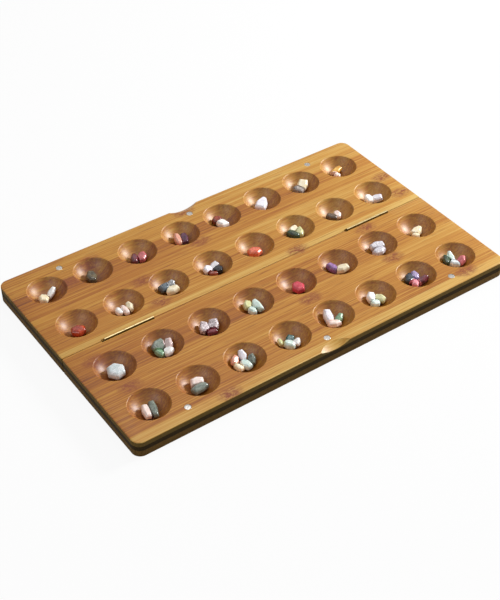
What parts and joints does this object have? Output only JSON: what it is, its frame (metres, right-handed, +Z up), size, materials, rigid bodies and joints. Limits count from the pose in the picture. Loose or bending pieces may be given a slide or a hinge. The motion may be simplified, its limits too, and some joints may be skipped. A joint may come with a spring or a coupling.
{
  "type": "folding mancala board",
  "caption": "Folding bamboo mancala board lying open, with rows of round bowls, brass butt hinges let into the seam, disc magnets and gemstone counters.",
  "frame": {"origin": "middle of the seam between the two halves, on the surface the board lies on", "axes": "+X along the seam towards the right, +Y from the front half towards the rear half, +Z up"},
  "size_m": [0.402, 0.2442, 0.018],
  "materials": {
    "bamboo": "satin",
    "brass": "satin",
    "nickel": "polished",
    "stone_cream": "polished",
    "stone_white": "polished",
    "stone_brown": "polished",
    "stone_rose": "polished",
    "stone_purple": "polished",
    "stone_red": "polished",
    "stone_amber": "polished",
    "stone_grey": "polished",
    "stone_green": "polished",
    "stone_aqua": "polished",
    "stone_black": "polished"
  },
  "bodies": {
    "front_half": {"front_board": "bamboo", "front_magnets": "nickel", "left_hinge_front_leaf": "brass", "left_hinge_pin": "brass", "right_hinge_front_leaf": "brass", "right_hinge_pin": "brass"},
    "rear_half": {"rear_board": "bamboo", "rear_magnets": "nickel", "left_hinge_rear_leaf": "brass", "right_hinge_rear_leaf": "brass"},
    "handful_row1_pit1": {"stones_row1_pit1": "stone_cream"},
    "handful_row1_pit2": {"stones_row1_pit2": "stone_brown"},
    "handful_row1_pit3": {"stones_row1_pit3": "stone_rose"},
    "handful_row1_pit4": {"stones_row1_pit4": "stone_purple"},
    "handful_row1_pit5": {"stones_row1_pit5": "stone_red"},
    "handful_row1_pit6": {"stones_row1_pit6": "stone_white"},
    "handful_row1_pit7": {"stones_row1_pit7": "stone_cream"},
    "handful_row1_pit8": {"stones_row1_pit8": "stone_amber"},
    "handful_row2_pit1": {"stones_row2_pit1": "stone_red"},
    "handful_row2_pit2": {"stones_row2_pit2": "stone_white"},
    "handful_row2_pit3": {"stones_row2_pit3": "stone_grey"},
    "handful_row2_pit4": {"stones_row2_pit4": "stone_black"},
    "handful_row2_pit5": {"stones_row2_pit5": "stone_red"},
    "handful_row2_pit6": {"stones_row2_pit6": "stone_green"},
    "handful_row2_pit7": {"stones_row2_pit7": "stone_brown"},
    "handful_row2_pit8": {"stones_row2_pit8": "stone_white"},
    "handful_row3_pit1": {"stones_row3_pit1": "stone_grey"},
    "handful_row3_pit2": {"stones_row3_pit2": "stone_green"},
    "handful_row3_pit3": {"stones_row3_pit3": "stone_rose"},
    "handful_row3_pit4": {"stones_row3_pit4": "stone_aqua"},
    "handful_row3_pit5": {"stones_row3_pit5": "stone_rose"},
    "handful_row3_pit6": {"stones_row3_pit6": "stone_purple"},
    "handful_row3_pit7": {"stones_row3_pit7": "stone_white"},
    "handful_row3_pit8": {"stones_row3_pit8": "stone_cream"},
    "handful_row4_pit1": {"stones_row4_pit1": "stone_grey"},
    "handful_row4_pit2": {"stones_row4_pit2": "stone_rose"},
    "handful_row4_pit3": {"stones_row4_pit3": "stone_cream"},
    "handful_row4_pit4": {"stones_row4_pit4": "stone_green"},
    "handful_row4_pit5": {"stones_row4_pit5": "stone_aqua"},
    "handful_row4_pit6": {"stones_row4_pit6": "stone_white"},
    "handful_row4_pit7": {"stones_row4_pit7": "stone_purple"},
    "handful_row4_pit8": {"stones_row4_pit8": "stone_green"}
  },
  "joints": [
    {"name": "fold", "type": "hinge", "parent": "front_half", "child": "rear_half", "pos_m": [0, 0, 0.0166], "axis": [-1, 0, 0], "range_deg": [-180, 0]},
    {"name": "lift_row1_pit1", "type": "slide", "parent": "rear_half", "child": "handful_row1_pit1", "axis": [0, 0, 1], "range_m": [0, 0.02]},
    {"name": "lift_row1_pit2", "type": "slide", "parent": "rear_half", "child": "handful_row1_pit2", "axis": [0, 0, 1], "range_m": [0, 0.02]},
    {"name": "lift_row1_pit3", "type": "slide", "parent": "rear_half", "child": "handful_row1_pit3", "axis": [0, 0, 1], "range_m": [0, 0.02]},
    {"name": "lift_row1_pit4", "type": "slide", "parent": "rear_half", "child": "handful_row1_pit4", "axis": [0, 0, 1], "range_m": [0, 0.02]},
    {"name": "lift_row1_pit5", "type": "slide", "parent": "rear_half", "child": "handful_row1_pit5", "axis": [0, 0, 1], "range_m": [0, 0.02]},
    {"name": "lift_row1_pit6", "type": "slide", "parent": "rear_half", "child": "handful_row1_pit6", "axis": [0, 0, 1], "range_m": [0, 0.02]},
    {"name": "lift_row1_pit7", "type": "slide", "parent": "rear_half", "child": "handful_row1_pit7", "axis": [0, 0, 1], "range_m": [0, 0.02]},
    {"name": "lift_row1_pit8", "type": "slide", "parent": "rear_half", "child": "handful_row1_pit8", "axis": [0, 0, 1], "range_m": [0, 0.02]},
    {"name": "lift_row2_pit1", "type": "slide", "parent": "rear_half", "child": "handful_row2_pit1", "axis": [0, 0, 1], "range_m": [0, 0.02]},
    {"name": "lift_row2_pit2", "type": "slide", "parent": "rear_half", "child": "handful_row2_pit2", "axis": [0, 0, 1], "range_m": [0, 0.02]},
    {"name": "lift_row2_pit3", "type": "slide", "parent": "rear_half", "child": "handful_row2_pit3", "axis": [0, 0, 1], "range_m": [0, 0.02]},
    {"name": "lift_row2_pit4", "type": "slide", "parent": "rear_half", "child": "handful_row2_pit4", "axis": [0, 0, 1], "range_m": [0, 0.02]},
    {"name": "lift_row2_pit5", "type": "slide", "parent": "rear_half", "child": "handful_row2_pit5", "axis": [0, 0, 1], "range_m": [0, 0.02]},
    {"name": "lift_row2_pit6", "type": "slide", "parent": "rear_half", "child": "handful_row2_pit6", "axis": [0, 0, 1], "range_m": [0, 0.02]},
    {"name": "lift_row2_pit7", "type": "slide", "parent": "rear_half", "child": "handful_row2_pit7", "axis": [0, 0, 1], "range_m": [0, 0.02]},
    {"name": "lift_row2_pit8", "type": "slide", "parent": "rear_half", "child": "handful_row2_pit8", "axis": [0, 0, 1], "range_m": [0, 0.02]},
    {"name": "lift_row3_pit1", "type": "slide", "parent": "front_half", "child": "handful_row3_pit1", "axis": [0, 0, 1], "range_m": [0, 0.02]},
    {"name": "lift_row3_pit2", "type": "slide", "parent": "front_half", "child": "handful_row3_pit2", "axis": [0, 0, 1], "range_m": [0, 0.02]},
    {"name": "lift_row3_pit3", "type": "slide", "parent": "front_half", "child": "handful_row3_pit3", "axis": [0, 0, 1], "range_m": [0, 0.02]},
    {"name": "lift_row3_pit4", "type": "slide", "parent": "front_half", "child": "handful_row3_pit4", "axis": [0, 0, 1], "range_m": [0, 0.02]},
    {"name": "lift_row3_pit5", "type": "slide", "parent": "front_half", "child": "handful_row3_pit5", "axis": [0, 0, 1], "range_m": [0, 0.02]},
    {"name": "lift_row3_pit6", "type": "slide", "parent": "front_half", "child": "handful_row3_pit6", "axis": [0, 0, 1], "range_m": [0, 0.02]},
    {"name": "lift_row3_pit7", "type": "slide", "parent": "front_half", "child": "handful_row3_pit7", "axis": [0, 0, 1], "range_m": [0, 0.02]},
    {"name": "lift_row3_pit8", "type": "slide", "parent": "front_half", "child": "handful_row3_pit8", "axis": [0, 0, 1], "range_m": [0, 0.02]},
    {"name": "lift_row4_pit1", "type": "slide", "parent": "front_half", "child": "handful_row4_pit1", "axis": [0, 0, 1], "range_m": [0, 0.02]},
    {"name": "lift_row4_pit2", "type": "slide", "parent": "front_half", "child": "handful_row4_pit2", "axis": [0, 0, 1], "range_m": [0, 0.02]},
    {"name": "lift_row4_pit3", "type": "slide", "parent": "front_half", "child": "handful_row4_pit3", "axis": [0, 0, 1], "range_m": [0, 0.02]},
    {"name": "lift_row4_pit4", "type": "slide", "parent": "front_half", "child": "handful_row4_pit4", "axis": [0, 0, 1], "range_m": [0, 0.02]},
    {"name": "lift_row4_pit5", "type": "slide", "parent": "front_half", "child": "handful_row4_pit5", "axis": [0, 0, 1], "range_m": [0, 0.02]},
    {"name": "lift_row4_pit6", "type": "slide", "parent": "front_half", "child": "handful_row4_pit6", "axis": [0, 0, 1], "range_m": [0, 0.02]},
    {"name": "lift_row4_pit7", "type": "slide", "parent": "front_half", "child": "handful_row4_pit7", "axis": [0, 0, 1], "range_m": [0, 0.02]},
    {"name": "lift_row4_pit8", "type": "slide", "parent": "front_half", "child": "handful_row4_pit8", "axis": [0, 0, 1], "range_m": [0, 0.02]}
  ]
}
